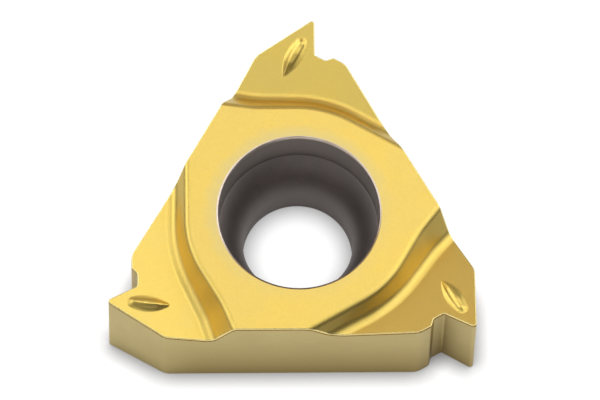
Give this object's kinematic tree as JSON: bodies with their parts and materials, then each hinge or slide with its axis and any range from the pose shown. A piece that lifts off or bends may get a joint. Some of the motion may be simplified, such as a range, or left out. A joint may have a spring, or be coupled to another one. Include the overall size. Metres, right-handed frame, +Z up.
{
  "type": "threading insert",
  "caption": "Triangular laydown threading insert: a pointed thread tooth with a notched shoulder, sunk rake face and curved chip breaker at each corner, and a bell-mouthed screw hole.",
  "frame": {"origin": "axis of the screw hole, on the flat underside", "axes": "+Z up along the screw hole, out of the head recess; +Y towards one corner; -Y is the outward normal of the side opposite it"},
  "size_m": [0.0093, 0.0086, 0.0031],
  "materials": {
    "coated_carbide": "satin gold-coloured hard coating over cemented carbide, honed edges, dark uncoated-looking screw hole"
  },
  "bodies": {
    "root": {"insert": "coated_carbide"}
  },
  "joints": []
}
